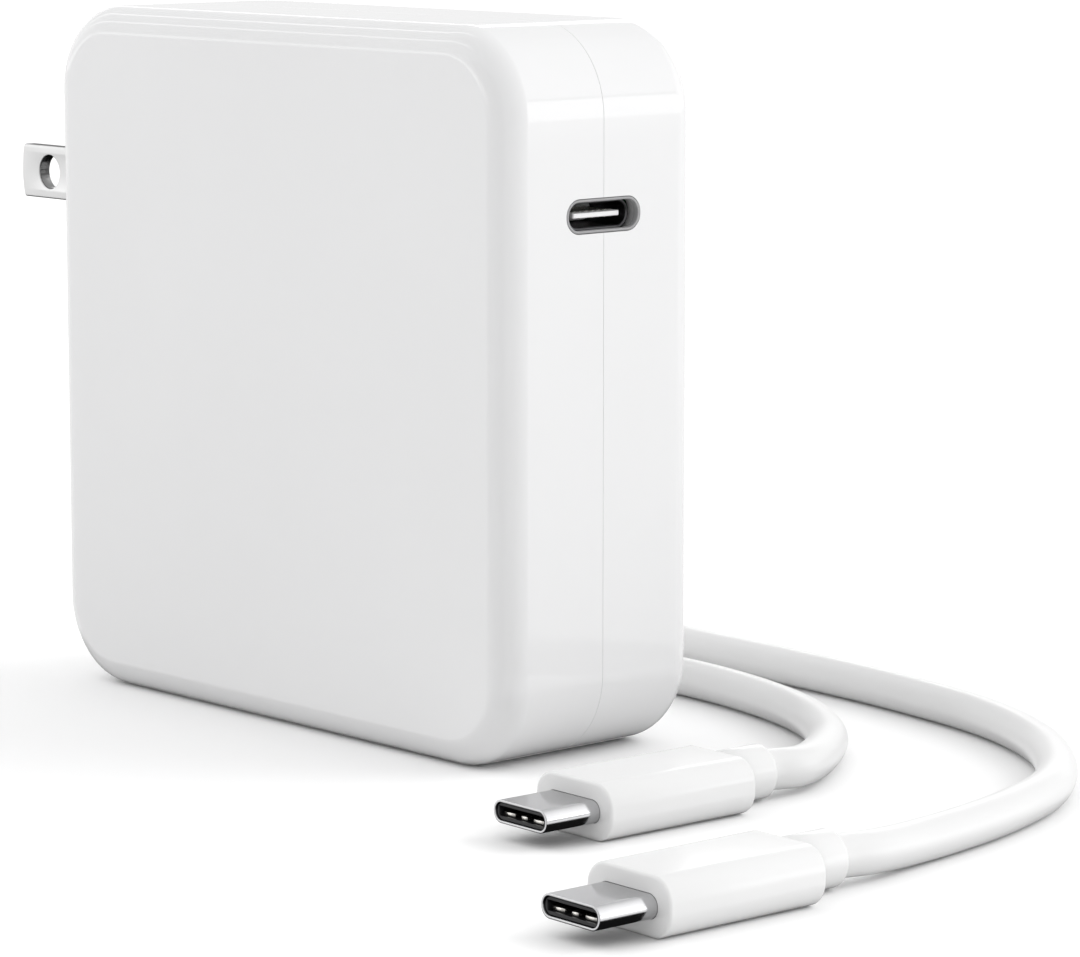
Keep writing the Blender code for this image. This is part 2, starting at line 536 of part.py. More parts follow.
START = OVER_L + 1.7
FLOOR_Z = CABLE_R + 0.03
knots = [behind(PLUG_NEAR, START, OVER_H / 2), behind(PLUG_NEAR, START + 5, OVER_H / 2),
         behind(PLUG_NEAR, START + 10, 2.7),
         (94.3, -9.0, 2.32), (93.0, 0.0, FLOOR_Z), (91.0, 9.0, FLOOR_Z), (87.3, 18.8, FLOOR_Z),
         (80.8, 27.6, FLOOR_Z), (71.5, 35.3, FLOOR_Z), (58.5, 41.2, FLOOR_Z), (42.0, 44.4, FLOOR_Z),
         (24.0, 45.9, FLOOR_Z), (5.0, 46.6, FLOOR_Z), (-10.0, 48.6, FLOOR_Z), (-22.0, 48.6, FLOOR_Z),
         (-29.6, 42.6, FLOOR_Z), (-29.8, 34.4, FLOOR_Z), (-22.0, 28.2, FLOOR_Z), (-10.0, 28.8, FLOOR_Z),
         (5.0, 31.8, FLOOR_Z), (20.0, 32.4, FLOOR_Z), (33.0, 30.6, FLOOR_Z), (44.5, 26.8, FLOOR_Z),
         (53.6, 20.9, FLOOR_Z), (59.8, 13.4, FLOOR_Z + 0.15),
         behind(PLUG_FAR, START + 10, 2.7), behind(PLUG_FAR, START + 5, OVER_H / 2),
         behind(PLUG_FAR, START, OVER_H / 2)]
wire("cable_jacket", smooth_path(knots, 3), CABLE_R, WHITE_SOFT, CABLE, res=3)
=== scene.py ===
import math
import bpy
import bmesh
from mathutils import Matrix, Vector


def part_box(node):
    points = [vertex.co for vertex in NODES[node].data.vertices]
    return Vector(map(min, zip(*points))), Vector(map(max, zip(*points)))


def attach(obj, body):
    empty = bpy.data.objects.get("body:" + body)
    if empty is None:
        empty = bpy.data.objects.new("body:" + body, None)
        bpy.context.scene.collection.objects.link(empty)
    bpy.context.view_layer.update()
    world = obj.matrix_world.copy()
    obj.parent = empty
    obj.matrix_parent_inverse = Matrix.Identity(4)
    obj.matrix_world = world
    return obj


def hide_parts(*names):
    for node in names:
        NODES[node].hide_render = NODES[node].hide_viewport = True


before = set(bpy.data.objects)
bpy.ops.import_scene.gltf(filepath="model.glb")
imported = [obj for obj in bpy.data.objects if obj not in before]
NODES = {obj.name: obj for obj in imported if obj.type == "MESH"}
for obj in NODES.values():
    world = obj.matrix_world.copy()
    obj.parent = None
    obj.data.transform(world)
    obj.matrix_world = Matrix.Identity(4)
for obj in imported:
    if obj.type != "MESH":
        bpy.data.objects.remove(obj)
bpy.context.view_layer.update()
MM = 0.001

# ------------------------------------------------------------------ the design's sizes, read from the frame
lo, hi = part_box("front_case_half")
CASE_X = hi.x                      # half width
CASE_Z = hi.z                      # height
CASE_Y = -lo.y                     # half thickness
CORNER = 10 * MM
FILLET = 3.3 * MM
WALL = 2.0 * MM
lo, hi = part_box("usb_c_port_trim")
PORT_Z = (lo.z + hi.z) / 2
TRIM_W, TRIM_H = hi.y - lo.y, hi.z - lo.z
lo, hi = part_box("blade_carrier")
PIVOT = Vector(((lo.x + hi.x) / 2, 0, (lo.z + hi.z) / 2))
BARREL_R = (hi.z - lo.z) / 2
BAY_LO, BAY_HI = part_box("plug_bay")

scene = bpy.context.scene
PIECES = bpy.data.collections.new("pieces")
scene.collection.children.link(PIECES)


# ------------------------------------------------------------------ node materials
def new_material(name):
    m = bpy.data.materials.new(name)
    m.use_nodes = True
    nt = m.node_tree
    b = nt.nodes["Principled BSDF"]
    return m, nt, b


def node(nt, kind, **inputs):
    n = nt.nodes.new(kind)
    for k, v in inputs.items():
        n.inputs[k.replace("_", " ")].default_value = v
    return n


def object_noise(nt, scale, detail=4.0, rough=0.5, stretch=None):
    tc = nt.nodes.new("ShaderNodeTexCoord")
    mp = nt.nodes.new("ShaderNodeMapping")
    if stretch:
        mp.inputs["Scale"].default_value = stretch
    nz = node(nt, "ShaderNodeTexNoise", Scale=scale, Detail=detail, Roughness=rough)
    nt.links.new(tc.outputs["Object"], mp.inputs["Vector"])
    nt.links.new(mp.outputs["Vector"], nz.inputs["Vector"])
    return nz


def ramp(nt, fac, stops):
    r = nt.nodes.new("ShaderNodeValToRGB")
    els = r.color_ramp.elements
    while len(els) < len(stops):
        els.new(0.5)
    for e, (p, c) in zip(els, stops):
        e.position = p
        e.color = (*c, 1) if len(c) == 3 else c
    nt.links.new(fac, r.inputs["Fac"])
    return r


def rough_map(nt, fac, lo_v, hi_v):
    mr = nt.nodes.new("ShaderNodeMapRange")
    mr.inputs["To Min"].default_value = lo_v
    mr.inputs["To Max"].default_value = hi_v
    nt.links.new(fac, mr.inputs["Value"])
    return mr


def bump(nt, b, height, strength, distance):
    bp = nt.nodes.new("ShaderNodeBump")
    bp.inputs["Strength"].default_value = strength
    bp.inputs["Distance"].default_value = distance
    nt.links.new(height, bp.inputs["Height"])
    nt.links.new(bp.outputs["Normal"], b.inputs["Normal"])
    return bp


def moulded(name, colour, rough, vary=0.03, peel=0.02, peel_scale=900.0, peel_depth=0.00002, sss=0.0,
            coat=0.0, shade=0.02):
    """Moulded plastic: a faint mottling in tone and gloss, and the fine ripple of a polished tool."""
    m, nt, b = new_material(name)
    big = object_noise(nt, 38.0, 3.0)
    c0 = tuple(max(0, c * (1 - shade)) for c in colour)
    col = ramp(nt, big.outputs["Fac"], ((0.25, c0), (0.75, colour)))
    nt.links.new(col.outputs["Color"], b.inputs["Base Color"])
    mid = object_noise(nt, 160.0, 5.0)
    rg = rough_map(nt, mid.outputs["Fac"], rough - vary, rough + vary)
    nt.links.new(rg.outputs["Result"], b.inputs["Roughness"])
    fine = object_noise(nt, peel_scale, 2.0)
    bump(nt, b, fine.outputs["Fac"], peel, peel_depth)
    if sss:
        b.inputs["Subsurface Weight"].default_value = sss
        b.inputs["Subsurface Radius"].default_value = (1.0, 0.95, 0.9)
        b.inputs["Subsurface Scale"].default_value = 0.0012
    if coat:
        b.inputs["Coat Weight"].default_value = coat
        b.inputs["Coat Roughness"].default_value = 0.08
    return m


def metal(name, colour, rough, vary=0.03, brush=None, brush_scale=500.0, depth=0.000006, grazing=1.0):
    """Plated metal: slight tarnish, fine drawing lines if brushed, and less shine at a glancing angle if dull."""
    m, nt, b = new_material(name)
    b.inputs["Metallic"].default_value = 1.0
    b.inputs["Specular Tint"].default_value = (grazing, grazing, grazing, 1)
    big = object_noise(nt, 220.0, 4.0)
    dull = tuple(c * 0.93 for c in colour)
    col = ramp(nt, big.outputs["Fac"], ((0.3, dull), (0.7, colour)))
    nt.links.new(col.outputs["Color"], b.inputs["Base Color"])
    lines = object_noise(nt, brush_scale, 4.0, 0.6, brush)
    rg = rough_map(nt, lines.outputs["Fac"], rough - vary, rough + vary)
    nt.links.new(rg.outputs["Result"], b.inputs["Roughness"])
    bump(nt, b, lines.outputs["Fac"], 0.25, depth)
    return m


CASE_WHITE = moulded("case_white_gloss", (0.72, 0.72, 0.724), 0.035, 0.008, 0.02, 300.0, 0.000003)
BAY_WHITE = moulded("bay_white_satin", (0.70, 0.70, 0.70), 0.30, 0.03, 0.15, 1600.0, 0.00002)
MOULD_WHITE = moulded("plug_white_satin", (0.73, 0.73, 0.73), 0.20, 0.02, 0.06, 900.0, 0.000004)
CABLE_WHITE = moulded("cable_white_elastomer", (0.71, 0.71, 0.71), 0.30, 0.02, 0.06, 900.0, 0.000004)
BLACK = moulded("black_moulding", (0.012, 0.012, 0.014), 0.34, 0.05, 0.2, 1200.0, 0.00002, shade=0.3)
TONGUE = moulded("tongue_moulding", (0.86, 0.86, 0.86), 0.30, 0.04, 0.1, 1500.0, 0.00001)
NOSE_STEEL = metal("nose_steel", (0.60, 0.60, 0.61), 0.14, 0.02, (1, 1, 1), 900.0, 0.000001, 0.88)
BLADE_NICKEL = metal("blade_nickel", (0.65, 0.65, 0.65), 0.30, 0.02, (0.05, 1, 1), 1400.0, 0.000001)
PORT_STEEL = metal("receptacle_dark_nickel", (0.10, 0.10, 0.105), 0.30, 0.04, (1, 1, 1), 900.0, 0.000002)
TRIM_GREY = moulded("trim_grey_satin", (0.30, 0.30, 0.305), 0.35, 0.04, 0.1, 1500.0, 0.00001)
# painted shade: the blade's sides get a darker copy of its nickel with little shine at a glancing angle, standing in
# for the dark reflections along its edges
BLADE_SIDE_PAINTED_SHADE = metal("blade_side_painted_shade", (0.56, 0.56, 0.56), 0.26, 0.05, (1, 1, 0.2), 900.0, 0.000006, 0.15)
# painted shade: the wall of the blade's hole gets a much darker copy of its nickel, standing in for the shade and dark
# reflections inside the hole
BLADE_HOLE_PAINTED_SHADE = metal("blade_hole_painted_shade", (0.24, 0.24, 0.24), 0.22, 0.10, (1, 1, 0.2), 1500.0, 0.00001)
CONTACT = metal("contact_plate", (0.86, 0.84, 0.80), 0.25, 0.04)
BRONZE = metal("phosphor_bronze", (0.72, 0.49, 0.29), 0.30, 0.06, (1, 8, 1))
ALU = metal("rolled_aluminium", (0.76, 0.77, 0.78), 0.34, 0.08, (0.05, 1, 1), 700.0, 0.00001)
SPRING = metal("spring_steel", (0.60, 0.60, 0.61), 0.28, 0.05, (1, 1, 10))


def board_material():
    """Solder mask over copper tracks and pads."""
    m, nt, b = new_material("board_green_mask")
    tc = nt.nodes.new("ShaderNodeTexCoord")
    br = node(nt, "ShaderNodeTexBrick", Scale=210.0)
    br.inputs["Color1"].default_value = (0.012, 0.10, 0.045, 1)
    br.inputs["Color2"].default_value = (0.018, 0.14, 0.06, 1)
    br.inputs["Mortar"].default_value = (0.05, 0.26, 0.12, 1)
    br.inputs["Mortar Size"].default_value = 0.03
    nt.links.new(tc.outputs["Object"], br.inputs["Vector"])
    pads = node(nt, "ShaderNodeTexVoronoi", Scale=330.0)
    nt.links.new(tc.outputs["Object"], pads.inputs["Vector"])
    mask = ramp(nt, pads.outputs["Distance"], ((0.10, (1, 1, 1)), (0.13, (0, 0, 0))))
    mix = nt.nodes.new("ShaderNodeMix")
    mix.data_type = 'RGBA'
    nt.links.new(mask.outputs["Color"], mix.inputs["Factor"])
    nt.links.new(br.outputs["Color"], mix.inputs[6])
    mix.inputs[7].default_value = (0.55, 0.55, 0.52, 1)
    nt.links.new(mix.outputs[2], b.inputs["Base Color"])
    rg = rough_map(nt, pads.outputs["Distance"], 0.25, 0.55)
    nt.links.new(rg.outputs["Result"], b.inputs["Roughness"])
    bump(nt, b, br.outputs["Fac"], 0.3, 0.00003)
    return m


def ferrite_material():
    m, nt, b = new_material("ferrite_grey")
    nz = object_noise(nt, 900.0, 6.0, 0.7)
    col = ramp(nt, nz.outputs["Fac"], ((0.3, (0.05, 0.05, 0.055)), (0.75, (0.14, 0.14, 0.145))))
    nt.links.new(col.outputs["Color"], b.inputs["Base Color"])
    rg = rough_map(nt, nz.outputs["Fac"], 0.5, 0.75)
    nt.links.new(rg.outputs["Result"], b.inputs["Roughness"])
    bump(nt, b, nz.outputs["Fac"], 0.4, 0.00005)
    return m


def wound_material(name, colour, dark, turns_scale, axis, metallic):
    """Turns of wire or tape: a wave across the winding."""
    m, nt, b = new_material(name)
    tc = nt.nodes.new("ShaderNodeTexCoord")
    wv = node(nt, "ShaderNodeTexWave", Scale=turns_scale, Distortion=0.6, Detail=2.0)
    wv.bands_direction = axis
    nt.links.new(tc.outputs["Object"], wv.inputs["Vector"])
    col = ramp(nt, wv.outputs["Fac"], ((0.15, dark), (0.6, colour)))
    nt.links.new(col.outputs["Color"], b.inputs["Base Color"])
    b.inputs["Metallic"].default_value = metallic
    rg = rough_map(nt, wv.outputs["Fac"], 0.5, 0.3)
    nt.links.new(rg.outputs["Result"], b.inputs["Roughness"])
    bump(nt, b, wv.outputs["Fac"], 0.6, 0.0002)
    return m


BOARD = board_material()
FERRITE = ferrite_material()
COPPER_Z = wound_material("copper_turns_z", (0.75, 0.34, 0.15), (0.30, 0.10, 0.04), 420.0, 'Z', 1.0)
COPPER_Y = wound_material("copper_turns_y", (0.75, 0.34, 0.15), (0.30, 0.10, 0.04), 420.0, 'Y', 1.0)
TAPE = wound_material("winding_tape", (0.80, 0.60, 0.08), (0.62, 0.43, 0.05), 60.0, 'Z', 0.0)
FILM_CAP = moulded("film_capacitor_case", (0.78, 0.58, 0.12), 0.42, 0.05, 0.3, 700.0, 0.00004, shade=0.12)
SLEEVE = moulded("capacitor_sleeve", (0.02, 0.03, 0.085), 0.30, 0.05, 0.2, 500.0, 0.00004, shade=0.3)
DISC = moulded("dipped_disc_blue", (0.06, 0.18, 0.46), 0.35, 0.06, 0.4, 420.0, 0.00012, shade=0.2)
DIPPED = moulded("dipped_ceramic_dark", (0.07, 0.09, 0.07), 0.45, 0.06, 0.4, 500.0, 0.0001, shade=0.3)
SHEET = moulded("insulating_film", (0.74, 0.70, 0.58), 0.42, 0.05, 0.2, 300.0, 0.00004, shade=0.06)
LEAD_WHITE = moulded("lead_insulation_white", (0.78, 0.78, 0.75), 0.45, 0.04, 0.2, 900.0, 0.00003)

KEPT = {
    "blade_contact_front": BRONZE, "blade_contact_rear": BRONZE, "plug_detent_spring": SPRING,
    "live_lead": BLACK, "neutral_lead": LEAD_WHITE, "port_board": BOARD, "port_controller_chip": BLACK,
    "main_board": BOARD, "front_heat_spreader": ALU, "rear_heat_spreader": ALU,
    "front_insulating_sheet": SHEET, "rear_insulating_sheet": SHEET, "transformer_core": FERRITE,
    "transformer_bobbin": BLACK, "transformer_winding": TAPE, "boost_inductor_core": FERRITE,
    "boost_inductor_winding": COPPER_Y, "bulk_capacitor_1": SLEEVE, "bulk_capacitor_2": SLEEVE,
    "bulk_capacitor_3": SLEEVE, "output_capacitor_1": ALU, "output_capacitor_2": ALU,
    "x_capacitor": FILM_CAP, "y_capacitor": DISC, "choke_core": FERRITE, "choke_winding_left": COPPER_Z,
    "choke_winding_right": COPPER_Z, "bridge_rectifier": BLACK, "fuse": DIPPED, "thermistor": DIPPED,
    "varistor": DISC, "heatsink": ALU, "switch_transistor": BLACK, "sync_transistor": BLACK,
    "controller_chip": BLACK, "optocoupler": BLACK, "plug_near_paddle_board": BOARD,
    "plug_far_paddle_board": BOARD,
}
for name, mat in KEPT.items():
    ob = NODES[name]
    ob.data.materials.clear()
    ob.data.materials.append(mat)


# ------------------------------------------------------------------ mesh helpers
def finish_piece(bm, name, mat, body, replaces=(), where=None, angle=35.0):
    """A bmesh becomes a piece that rides on a CAD body and stands for its CAD nodes."""
    bmesh.ops.recalc_face_normals(bm, faces=bm.faces)
    me = bpy.data.meshes.new(name)
    bm.to_mesh(me)
    bm.free()
    ob = bpy.data.objects.new(name, me)
    PIECES.objects.link(ob)
    me.materials.append(mat)
    me.shade_smooth()
    me.set_sharp_from_angle(angle=math.radians(angle))
    if where is not None:
        ob.matrix_world = where
    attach(ob, body)
    if replaces:
        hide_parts(*replaces)
    return ob


def rounded_rect(w, h, r, n=12, extra=0):
    """Closed outline, anticlockwise from the right-hand side; straight sides may carry extra points."""
    r = min(r, w / 2 - 1e-6, h / 2 - 1e-6)
    pts = []
    for k, (cx, cy) in enumerate(((w / 2 - r, h / 2 - r), (-w / 2 + r, h / 2 - r),
                                  (-w / 2 + r, -h / 2 + r), (w / 2 - r, -h / 2 + r))):
        for i in range(n + 1):
            a = math.pi / 2 * (k + i / n)
            pts.append((cx + r * math.cos(a), cy + r * math.sin(a)))
        if extra:
            a, nxt = pts[-1], ((-w / 2 + r, h / 2), (-w / 2, -h / 2 + r), (w / 2 - r, -h / 2), (w / 2, h / 2 - r))[k]
            for j in range(1, extra + 1):
                t = j / (extra + 1)
                pts.append((a[0] + (nxt[0] - a[0]) * t, a[1] + (nxt[1] - a[1]) * t))
    return pts


def loft(rings, wrap=False):
    """Quads between rings of equal length; ends capped, or joined when wrapped."""
    bm = bmesh.new()
    vs = [[bm.verts.new(p) for p in ring] for ring in rings]
    n = len(rings[0])
    pairs = list(zip(vs, vs[1:])) + ([(vs[-1], vs[0])] if wrap else [])
    for a, b in pairs:
        for i in range(n):
            j = (i + 1) % n
            bm.faces.new((a[i], a[j], b[j], b[i]))
    if not wrap:
        bm.faces.new(vs[0][::-1])
        bm.faces.new(vs[-1])
    return bm


def arc(c, r, a0, a1, n):
    return [(c[0] + r * math.cos(math.radians(a0 + (a1 - a0) * i / n)),
             c[1] + r * math.sin(math.radians(a0 + (a1 - a0) * i / n))) for i in range(n + 1)]


def section_x(x, w, h, r, n=12):
    """A rounded rectangle across the X axis, at x; sizes in metres."""
    return [Vector((x, y, z)) for y, z in rounded_rect(w, h, r, n)]


def extrude_y(outline, y0, y1):
    """A side outline of (x, z) points in millimetres, given a width along Y in metres."""
    bm = bmesh.new()
    f = bm.faces.new([bm.verts.new((x * MM, y0, z * MM)) for x, z in outline])
    up_ = bmesh.ops.extrude_face_region(bm, geom=[f])
    bmesh.ops.translate(bm, verts=[v for v in up_["geom"] if isinstance(v, bmesh.types.BMVert)], vec=(0, y1 - y0, 0))
    return bm


def revolve(profile, steps, closed=False):
    """Spin a (radius, height) profile about Z."""
    bm = bmesh.new()
    rows = []
    for r, h in profile:
        if r < 1e-9:
            rows.append([bm.verts.new((0, 0, h))])
        else:
            rows.append([bm.verts.new((r * math.cos(2 * math.pi * i / steps), r * math.sin(2 * math.pi * i / steps), h))
                         for i in range(steps)])
    pairs = list(zip(rows, rows[1:])) + ([(rows[-1], rows[0])] if closed else [])
    for a, b in pairs:
        for i in range(steps):
            j = (i + 1) % steps
            if len(a) == 1 and len(b) == 1:
                continue
            if len(a) == 1:
                bm.faces.new((a[0], b[j], b[i]))
            elif len(b) == 1:
                bm.faces.new((a[i], a[j], b[0]))
            else:
                bm.faces.new((a[i], a[j], b[j], b[i]))
    return bm


def tool(bm, name):
    """A cutter for a Boolean; it is removed once the cut is applied."""
    bmesh.ops.recalc_face_normals(bm, faces=bm.faces)
    me = bpy.data.meshes.new(name)
    bm.to_mesh(me)
    bm.free()
    ob = bpy.data.objects.new(name, me)
    scene.collection.objects.link(ob)
    return ob


def box_bm(a, b):
    bm = bmesh.new()
    bmesh.ops.create_cube(bm, size=1.0)
    for v in bm.verts:
        v.co = Vector([(a[i] + b[i]) / 2 + v.co[i] * (b[i] - a[i]) for i in range(3)])
    return bm


def carve(ob, tools, solver='EXACT', op='DIFFERENCE'):
    """Cut tools out of a piece, and keep the plain mesh."""
    for t in tools:
        m = ob.modifiers.new("cut", 'BOOLEAN')
        m.operation = op
        m.solver = solver
        m.object = t
    apply_all(ob)
    for t in tools:
        bpy.data.objects.remove(t, do_unlink=True)


def apply_all(ob):
    bpy.context.view_layer.update()
    dg = bpy.context.evaluated_depsgraph_get()
    me = bpy.data.meshes.new_from_object(ob.evaluated_get(dg), depsgraph=dg)
    old = ob.data
    ob.modifiers.clear()
    ob.data = me
    if old.users == 0:
        bpy.data.meshes.remove(old)


def soften(ob, width, segments=2, angle=32.0):
    """A small round on the edges that are still sharp, with flat faces kept flat."""
    b = ob.modifiers.new("soft_edges", 'BEVEL')
    b.width = width
    b.segments = segments
    b.limit_method = 'ANGLE'
    b.angle_limit = math.radians(angle)
    b.use_clamp_overlap = True
    b.harden_normals = False
    w = ob.modifiers.new("flat_normals", 'WEIGHTED_NORMAL')
    w.weight = 80
    w.keep_sharp = False
    apply_all(ob)


# ------------------------------------------------------------------ case halves
SEAM = 0.02 * MM     # what shows of the joint between the halves


def case_skin(name, side, node_name):
    w, h = 2 * CASE_X, CASE_Z

    def ring(inset, y):
        return [Vector((u, side * y, CASE_Z / 2 + v))
                for u, v in rounded_rect(w - 2 * inset, h - 2 * inset, CORNER - inset, 24, 3)]
    rings = [ring(6.5 * MM, CASE_Y)]
    rings += [ring(4.2 * MM, CASE_Y)]
    for i in range(0, 13):
        a = math.radians(90 * i / 12)
        rings.append(ring(FILLET - FILLET * math.sin(a), CASE_Y - FILLET + FILLET * math.cos(a)))
    y0 = SEAM / 2
    rings += [ring(0, CASE_Y * 0.5), ring(0, y0 + 0.05 * MM), ring(0.01 * MM, y0 + 0.02 * MM), ring(0.03 * MM, y0)]
    rings += [ring(WALL * 0.9, y0), ring(WALL, y0 + 0.2 * MM)]
    for i in range(0, 5):
        a = math.radians(90 * i / 4)
        rings.append(ring(WALL + 1.3 * MM * (1 - math.cos(a)), CASE_Y - WALL - 1.3 * MM + 1.3 * MM * math.sin(a)))
    rings.append(ring(6.5 * MM, CASE_Y - WALL))
    ob = finish_piece(loft(rings), name, CASE_WHITE, "root", (node_name,))
    gap = 0.06 * MM
    th, tw = TRIM_H + 2 * gap, TRIM_W + 2 * gap
    hole = tool(loft([[Vector((x, y, PORT_Z + z)) for y, z in rounded_rect(tw, th, th * 0.49, 14)]
                      for x in (CASE_X - 6 * MM, CASE_X + 3 * MM)]), "tool_port")
    bay = tool(box_bm((-CASE_X - 3 * MM, BAY_LO.y - 0.12 * MM, BAY_LO.z - 0.12 * MM),
                      (-CASE_X + 6 * MM, BAY_HI.y + 0.12 * MM, BAY_HI.z + 0.12 * MM)), "tool_bay")
    carve(ob, [hole, bay])
    soften(ob, 0.025 * MM, 2, 40.0)
    return ob


front_skin = case_skin("front_half_skin", -1, "front_case_half")
rear_skin = case_skin("rear_half_skin", 1, "rear_case_half")

# ------------------------------------------------------------------ plug bay
bay_bm = box_bm(BAY_LO, BAY_HI)
bay_piece = finish_piece(bay_bm, "plug_bay_moulding", BAY_WHITE, "root", ("plug_bay",))
blade_boxes = {t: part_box("blade_" + t) for t in ("front", "rear")}
cuts = [tool(box_bm((BAY_LO.x - 4 * MM, -8.6 * MM, PIVOT.z - 4.6 * MM), (-30.4 * MM, 8.6 * MM, PIVOT.z + 4.6 * MM)), "t_pocket")]
for t, (blo, bhi) in blade_boxes.items():
    ym = (blo.y + bhi.y) / 2
    cuts.append(tool(box_bm((BAY_LO.x - 4 * MM, ym - 1.2 * MM, 37.8 * MM), (-31.7 * MM, ym + 1.2 * MM, PIVOT.z)), "t_slot_" + t))
    cuts.append(tool(box_bm((-32 * MM, ym - 1.35 * MM, 61.1 * MM), (-26 * MM, ym + 1.35 * MM, 62.4 * MM)), "t_window_" + t))
cyl = revolve([(0, -9.7 * MM), (1.78 * MM, -9.7 * MM), (1.78 * MM, 9.7 * MM), (0, 9.7 * MM)], 48)
bmesh.ops.transform(cyl, matrix=Matrix.Translation(PIVOT) @ Matrix.Rotation(math.pi / 2, 4, 'X'), verts=cyl.verts)
cuts.append(tool(cyl, "t_axle"))
cyl = revolve([(0, -7 * MM), (7 * MM, -7 * MM), (7 * MM, 7 * MM), (0, 7 * MM)], 96)
bmesh.ops.transform(cyl, matrix=Matrix.Translation((-44 * MM, 0, 41 * MM)) @ Matrix.Rotation(math.pi / 2, 4, 'X'), verts=cyl.verts)
cuts.append(tool(cyl, "t_scoop"))
carve(bay_piece, cuts)
soften(bay_piece, 0.16 * MM, 2, 40.0)

# ------------------------------------------------------------------ blade carrier and blades
g0, g1 = 5.35 * MM, 7.35 * MM
half = 8.3 * MM
R = BARREL_R
c = 0.35 * MM
prof = [(0, 9.4 * MM), (1.55 * MM, 9.4 * MM), (1.7 * MM, 9.25 * MM), (1.7 * MM, half)]
prof += [(R - 0.5 * MM, half)] + [(p[0], p[1]) for p in arc((R - 0.5 * MM, half - 0.5 * MM), 0.5 * MM, 90, 0, 6)]
prof += [(R, g1 + 0.12 * MM), (R - 0.12 * MM, g1), (1.8 * MM, g1), (1.8 * MM, g0), (R - 0.12 * MM, g0), (R, g0 - 0.12 * MM)]
prof += [(r, -h) for r, h in reversed(prof)]
bm = revolve(prof, 96)
bmesh.ops.remove_doubles(bm, verts=bm.verts, dist=1e-7)
finish_piece(bm, "blade_carrier_barrel", BAY_WHITE, "folding_plug", ("blade_carrier",),
             Matrix.Translation(PIVOT) @ Matrix.Rotation(-math.pi / 2, 4, 'X'), 30.0)


def blade_piece(tag):
    """A stamped blade: flat outline with a hole, edges broken all round, and its eye around the carrier's core."""
    blo, bhi = blade_boxes[tag]
    ym = (blo.y + bhi.y) / 2
    t = bhi.y - blo.y
    edge = 0.16 * MM
    tip = blo.x - PIVOT.x
    h = 3.175 * MM
    eye = 4.1 * MM
    a = math.degrees(math.asin(h / eye))
    outline = arc((0, 0), eye, -(180 - a), 180 - a, 60)                       # round the back of the eye
    rc = 0.45 * MM
    big = 13.0 * MM                                                         # the tip is a shallow arc
    xc = tip + big - math.sqrt((big - rc) ** 2 - (h - rc) ** 2)
    turn_deg = 180 - math.degrees(math.asin((h - rc) / (big - rc)))
    outline += [(tip * 0.5, h)]
    outline += arc((xc, h - rc), rc, 90, turn_deg, 8)
    outline += arc((tip + big, 0), big, turn_deg, 360 - turn_deg, 24)[1:-1]
    outline += arc((xc, -h + rc), rc, 360 - turn_deg, 270, 8)
    outline += [(tip * 0.5, -h)]
    hole = arc((tip + 5.6 * MM, 0), 2.0 * MM, 0, 360, 47)[:-1]
    core = arc((0, 0), 2.1 * MM, 0, 360, 47)[:-1]
    cu = bpy.data.curves.new("blade_outline_" + tag, 'CURVE')
    cu.dimensions = '2D'
    cu.fill_mode = 'BOTH'
    cu.extrude = t / 2 - edge
    cu.bevel_depth = edge
    cu.bevel_resolution = 3
    cu.offset = -edge
    for pts in (outline, hole, core):
        s = cu.splines.new('POLY')
        s.points.add(len(pts) - 1)
        s.use_cyclic_u = True
        for p, q in zip(s.points, pts):
            p.co = (q[0], q[1], 0, 1)
    tmp = bpy.data.objects.new("blade_tmp_" + tag, cu)
    scene.collection.objects.link(tmp)
    bpy.context.view_layer.update()
    me = bpy.data.meshes.new_from_object(tmp.evaluated_get(bpy.context.evaluated_depsgraph_get()))
    bm = bmesh.new()
    bm.from_mesh(me)
    bmesh.ops.remove_doubles(bm, verts=bm.verts, dist=1e-6)
    bpy.data.objects.remove(tmp, do_unlink=True)
    where = Matrix.Translation((PIVOT.x, ym, PIVOT.z)) @ Matrix.Rotation(math.pi / 2, 4, 'X')
    ob = finish_piece(bm, "blade_%s_stamping" % tag, BLADE_NICKEL, "folding_plug", ("blade_" + tag,), where, 25.0)
    ob.data.materials.append(BLADE_SIDE_PAINTED_SHADE)                                    # the sides: a darker copy, painted shade
    ob.data.materials.append(BLADE_HOLE_PAINTED_SHADE)                                    # and the hole's wall: a darker copy still, painted shade
    middle = Vector((tip + 5.6 * MM, 0, 0))
    # faces that don't face along the blade's thickness take the painted-shade copies: the hole's wall the darkest one,
    # the other sides the lighter one
    for poly in ob.data.polygons:
        p = Vector((poly.center.x, poly.center.y, 0))
        side_face = abs(poly.normal.z) < 0.7
        poly.material_index = (2 if (p - middle).length < 2.3 * MM else 1) if side_face else 0
    return ob


for tag in ("front", "rear"):
    blade_piece(tag)

# ------------------------------------------------------------------ USB-C outlet
X = CASE_X


def tube_x(sections, name, mat, body, replaces=(), where=None, angle=30.0, wrap=True, n=14):
    rings = [[Vector((x, y, z)) for y, z in rounded_rect(w, h, r, n)] for x, w, h, r in sections]
    return finish_piece(loft(rings, wrap), name, mat, body, replaces, where, angle)


at_port = Matrix.Translation((X, 0, PORT_Z))
tw, th = TRIM_W, TRIM_H
iw, ih = TRIM_W - 0.60 * MM, TRIM_H - 0.60 * MM


def offs(w, h, d):
    return w - 2 * d, h - 2 * d, (h - 2 * d) * 0.49


